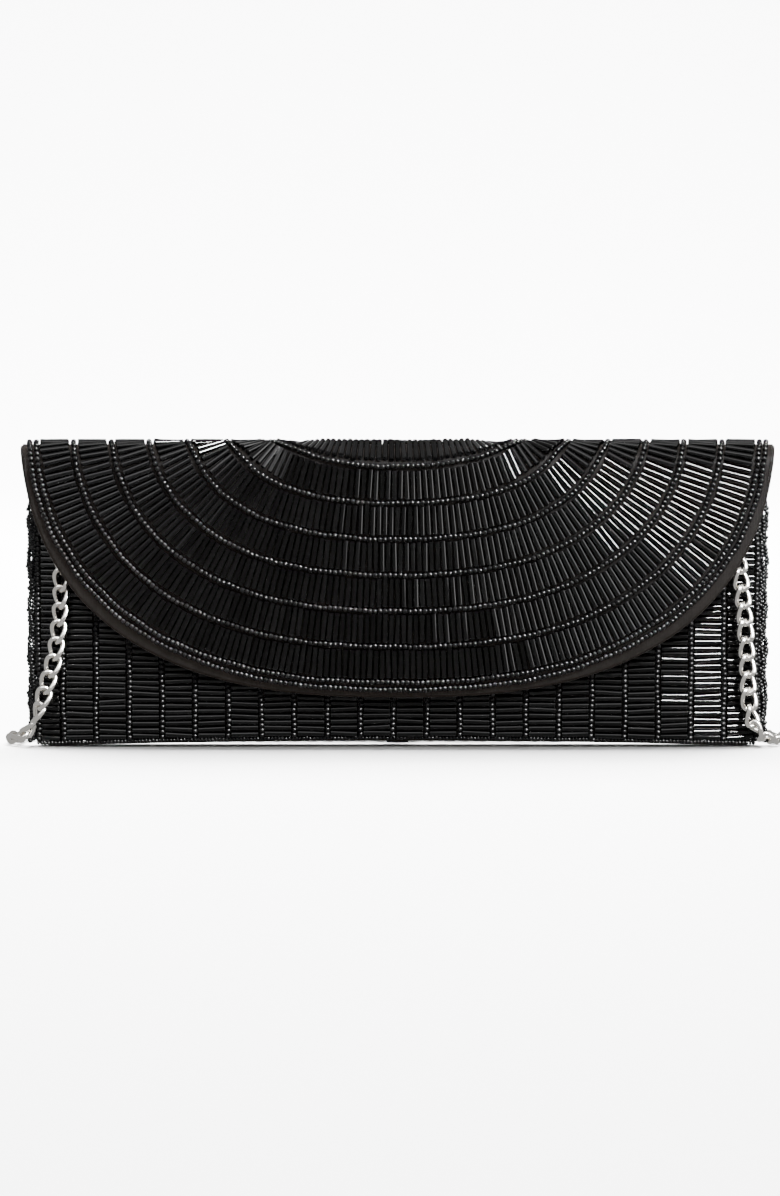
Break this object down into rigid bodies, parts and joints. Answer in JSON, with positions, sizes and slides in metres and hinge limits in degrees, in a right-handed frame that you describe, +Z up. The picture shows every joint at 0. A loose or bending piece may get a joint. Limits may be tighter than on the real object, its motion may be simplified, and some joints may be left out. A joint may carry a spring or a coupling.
{
  "type": "clutch purse",
  "caption": "Slim envelope clutch with a full-width rounded flap covered in rings of glass bugle and seed beads, a magnetic snap and a curb-chain strap.",
  "frame": {"origin": "bottom centre of the closed clutch without its chain, on the surface it stands on", "axes": "+X along the width, +Y from the front with its flap to the back, +Z up"},
  "size_m": [0.287, 0.0754, 0.1146],
  "materials": {
    "cover_satin": "black duchess satin",
    "lining_satin": "black lining satin",
    "stiffening_board": "grey-brown bag board",
    "label_ribbon": "plain woven ribbon, blank",
    "glass_beads": "opaque black glass, fire polished",
    "snap_steel": "nickel plated",
    "magnet": "dark sintered",
    "ring_steel": "polished nickel plate",
    "chain_steel": "polished rhodium-look plate"
  },
  "bodies": {
    "body": {"front_cover": "cover_satin", "front_board": "stiffening_board", "front_lining": "lining_satin", "front_bead_field": "glass_beads", "back_cover": "cover_satin", "back_board": "stiffening_board", "back_lining": "lining_satin", "back_bead_field": "glass_beads", "slip_pocket": "lining_satin", "blank_label": "label_ribbon", "left_side_binding": "cover_satin", "right_side_binding": "cover_satin", "left_bead_edging": "glass_beads", "right_bead_edging": "glass_beads", "mouth_binding": "cover_satin", "front_bottom_edging": "glass_beads", "back_bottom_edging": "glass_beads", "bottom_gusset": "cover_satin", "snap_socket_case": "snap_steel", "snap_magnet": "magnet", "snap_socket_washer": "snap_steel", "left_ring_tab": "cover_satin", "right_ring_tab": "cover_satin", "left_d_ring": "ring_steel", "right_d_ring": "ring_steel", "left_jump_ring": "ring_steel", "right_jump_ring": "ring_steel", "chain_left_run": "chain_steel", "chain_right_run": "chain_steel", "chain_hank": "chain_steel", "chain_tie": "cover_satin"},
    "flap": {"flap_cover": "cover_satin", "flap_board": "stiffening_board", "flap_lining": "lining_satin", "flap_piping": "cover_satin", "flap_seed_row_0": "glass_beads", "flap_seed_row_1": "glass_beads", "flap_seed_row_2": "glass_beads", "flap_seed_row_3": "glass_beads", "flap_seed_row_4": "glass_beads", "flap_seed_row_5": "glass_beads", "flap_seed_row_6": "glass_beads", "flap_seed_row_7": "glass_beads", "flap_seed_row_8": "glass_beads", "flap_bugle_row_0": "glass_beads", "flap_bugle_row_1": "glass_beads", "flap_bugle_row_2": "glass_beads", "flap_bugle_row_3": "glass_beads", "flap_bugle_row_4": "glass_beads", "flap_bugle_row_5": "glass_beads", "flap_bugle_row_6": "glass_beads", "flap_bugle_row_7": "glass_beads", "snap_stud_plate": "snap_steel", "snap_stud_washer": "snap_steel"}
  },
  "joints": [
    {"name": "flap_hinge", "type": "hinge", "parent": "body", "child": "flap", "pos_m": [0, 0.0123, 0.1034], "axis": [-1, 0, 0], "range_deg": [0, 180]}
  ]
}
